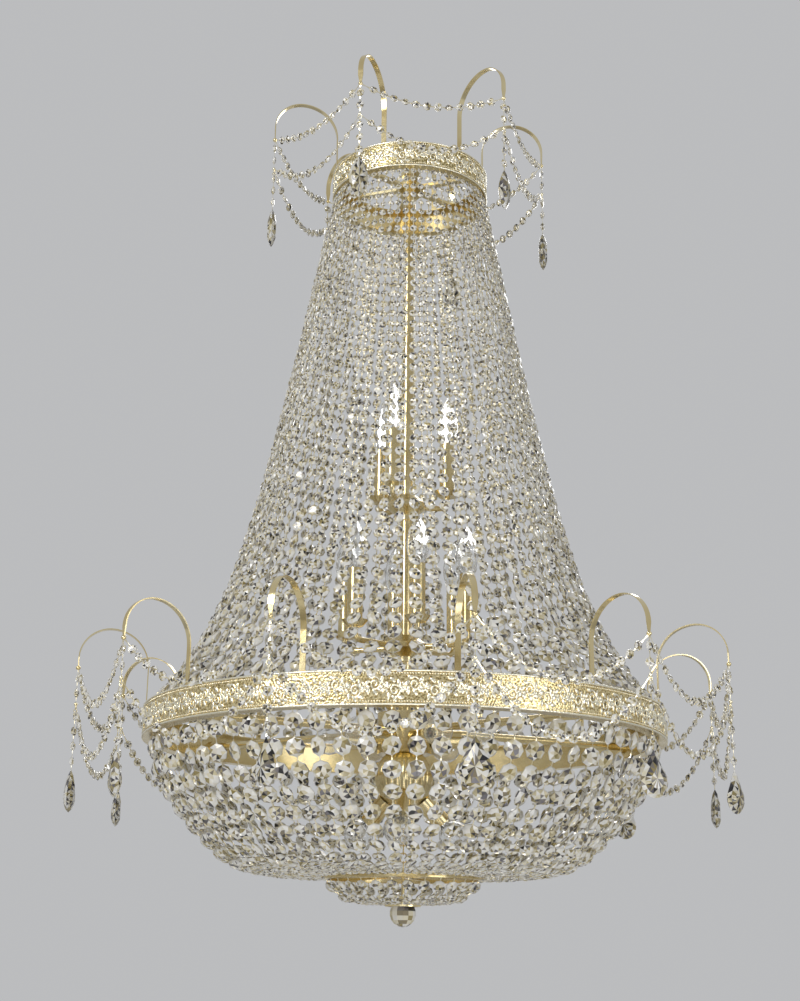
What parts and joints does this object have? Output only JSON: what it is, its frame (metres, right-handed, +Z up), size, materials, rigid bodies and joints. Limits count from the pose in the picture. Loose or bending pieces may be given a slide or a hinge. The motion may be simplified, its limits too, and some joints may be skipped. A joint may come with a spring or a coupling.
{
  "type": "crystal chandelier",
  "caption": "Crystal tent-and-bowl chandelier: bead strands on gilt bands, arched hooks with swags and hanging drops, candle and globe lamps inside, hung by a top eye.",
  "frame": {"origin": "centre of the bore of the hanging eye", "axes": "+Z up; -Y towards the viewer of the picture, so +Y runs through the eye's bore; +X to the viewer's right"},
  "size_m": [1.0004, 1.0004, 1.3617],
  "materials": {
    "gilt_brass": "polished",
    "crystal": "cut and polished",
    "bulb_glass": "clear",
    "insulator": "matt"
  },
  "bodies": {
    "chandelier": {"hanging_eye": "gilt_brass", "eye_locknut": "gilt_brass", "central_stem": "gilt_brass", "cable_bush": "insulator", "crown_band": "gilt_brass", "crown_spider": "gilt_brass", "crown_spider_nuts": "gilt_brass", "large_band": "gilt_brass", "ring_spider": "gilt_brass", "terminal_block": "insulator", "hub_cover": "gilt_brass", "small_ring": "gilt_brass", "small_ring_spider": "gilt_brass", "top_hooks": "gilt_brass", "lower_hooks": "gilt_brass", "tent_strands_1": "crystal", "tent_strands_2": "crystal", "tent_strands_3": "crystal", "bowl_strands": "crystal", "basket_strands": "crystal", "basket_collector": "gilt_brass", "crystal_ball": "crystal", "ball_rod": "gilt_brass", "top_hangers": "crystal", "lower_hangers": "crystal", "top_swags": "crystal", "lower_swags": "crystal", "lamp_hubs": "gilt_brass", "hub_collars": "gilt_brass", "lamp_arms": "gilt_brass", "drip_cups": "gilt_brass", "candle_sleeves": "gilt_brass", "candle_lampholders": "insulator", "candle_bulb_caps": "gilt_brass", "candle_bulbs": "bulb_glass", "globe_sockets": "gilt_brass", "globe_bulb_caps": "gilt_brass", "globe_bulbs": "bulb_glass", "vase": "gilt_brass", "vase_nut": "gilt_brass", "lower_chain": "gilt_brass"},
    "top_drop_1": {"top_drop_1": "crystal"},
    "top_drop_2": {"top_drop_2": "crystal"},
    "top_drop_3": {"top_drop_3": "crystal"},
    "top_drop_4": {"top_drop_4": "crystal"},
    "top_drop_5": {"top_drop_5": "crystal"},
    "top_drop_6": {"top_drop_6": "crystal"},
    "lower_drop_1": {"lower_drop_1": "crystal"},
    "lower_drop_2": {"lower_drop_2": "crystal"},
    "lower_drop_3": {"lower_drop_3": "crystal"},
    "lower_drop_4": {"lower_drop_4": "crystal"},
    "lower_drop_5": {"lower_drop_5": "crystal"},
    "lower_drop_6": {"lower_drop_6": "crystal"},
    "lower_drop_7": {"lower_drop_7": "crystal"},
    "lower_drop_8": {"lower_drop_8": "crystal"},
    "lower_drop_9": {"lower_drop_9": "crystal"},
    "lower_drop_10": {"lower_drop_10": "crystal"},
    "lower_drop_11": {"lower_drop_11": "crystal"},
    "lower_drop_12": {"lower_drop_12": "crystal"}
  },
  "joints": [
    {"name": "top_drop_1_swing", "type": "hinge", "parent": "chandelier", "child": "top_drop_1", "pos_m": [-0.08, -0.21979, -0.0547], "axis": [0.9397, -0.342, 0], "range_deg": [-15, 15]},
    {"name": "top_drop_2_swing", "type": "hinge", "parent": "chandelier", "child": "top_drop_2", "pos_m": [0.15035, -0.17918, -0.0547], "axis": [0.766, 0.6428, 0], "range_deg": [-15, 15]},
    {"name": "top_drop_3_swing", "type": "hinge", "parent": "chandelier", "child": "top_drop_3", "pos_m": [0.23035, 0.04062, -0.0547], "axis": [-0.1736, 0.9848, 0], "range_deg": [-15, 15]},
    {"name": "top_drop_4_swing", "type": "hinge", "parent": "chandelier", "child": "top_drop_4", "pos_m": [0.08, 0.21979, -0.0547], "axis": [-0.9397, 0.342, 0], "range_deg": [-15, 15]},
    {"name": "top_drop_5_swing", "type": "hinge", "parent": "chandelier", "child": "top_drop_5", "pos_m": [-0.15035, 0.17918, -0.0547], "axis": [-0.766, -0.6428, 0], "range_deg": [-15, 15]},
    {"name": "top_drop_6_swing", "type": "hinge", "parent": "chandelier", "child": "top_drop_6", "pos_m": [-0.23035, -0.04062, -0.0547], "axis": [0.1736, -0.9848, 0], "range_deg": [-15, 15]},
    {"name": "lower_drop_1_swing", "type": "hinge", "parent": "chandelier", "child": "lower_drop_1", "pos_m": [-0.1707, -0.469, -0.9746], "axis": [0.9397, -0.342, 0], "range_deg": [-15, 15]},
    {"name": "lower_drop_2_swing", "type": "hinge", "parent": "chandelier", "child": "lower_drop_2", "pos_m": [0.08667, -0.49152, -0.9746], "axis": [0.9848, 0.1736, 0], "range_deg": [-15, 15]},
    {"name": "lower_drop_3_swing", "type": "hinge", "parent": "chandelier", "child": "lower_drop_3", "pos_m": [0.32082, -0.38233, -0.9746], "axis": [0.766, 0.6428, 0], "range_deg": [-15, 15]},
    {"name": "lower_drop_4_swing", "type": "hinge", "parent": "chandelier", "child": "lower_drop_4", "pos_m": [0.469, -0.1707, -0.9746], "axis": [0.342, 0.9397, 0], "range_deg": [-15, 15]},
    {"name": "lower_drop_5_swing", "type": "hinge", "parent": "chandelier", "child": "lower_drop_5", "pos_m": [0.49152, 0.08667, -0.9746], "axis": [-0.1736, 0.9848, 0], "range_deg": [-15, 15]},
    {"name": "lower_drop_6_swing", "type": "hinge", "parent": "chandelier", "child": "lower_drop_6", "pos_m": [0.38233, 0.32082, -0.9746], "axis": [-0.6428, 0.766, 0], "range_deg": [-15, 15]},
    {"name": "lower_drop_7_swing", "type": "hinge", "parent": "chandelier", "child": "lower_drop_7", "pos_m": [0.1707, 0.469, -0.9746], "axis": [-0.9397, 0.342, 0], "range_deg": [-15, 15]},
    {"name": "lower_drop_8_swing", "type": "hinge", "parent": "chandelier", "child": "lower_drop_8", "pos_m": [-0.08667, 0.49152, -0.9746], "axis": [-0.9848, -0.1736, 0], "range_deg": [-15, 15]},
    {"name": "lower_drop_9_swing", "type": "hinge", "parent": "chandelier", "child": "lower_drop_9", "pos_m": [-0.32082, 0.38233, -0.9746], "axis": [-0.766, -0.6428, 0], "range_deg": [-15, 15]},
    {"name": "lower_drop_10_swing", "type": "hinge", "parent": "chandelier", "child": "lower_drop_10", "pos_m": [-0.469, 0.1707, -0.9746], "axis": [-0.342, -0.9397, 0], "range_deg": [-15, 15]},
    {"name": "lower_drop_11_swing", "type": "hinge", "parent": "chandelier", "child": "lower_drop_11", "pos_m": [-0.49152, -0.08667, -0.9746], "axis": [0.1736, -0.9848, 0], "range_deg": [-15, 15]},
    {"name": "lower_drop_12_swing", "type": "hinge", "parent": "chandelier", "child": "lower_drop_12", "pos_m": [-0.38233, -0.32082, -0.9746], "axis": [0.6428, -0.766, 0], "range_deg": [-15, 15]}
  ]
}
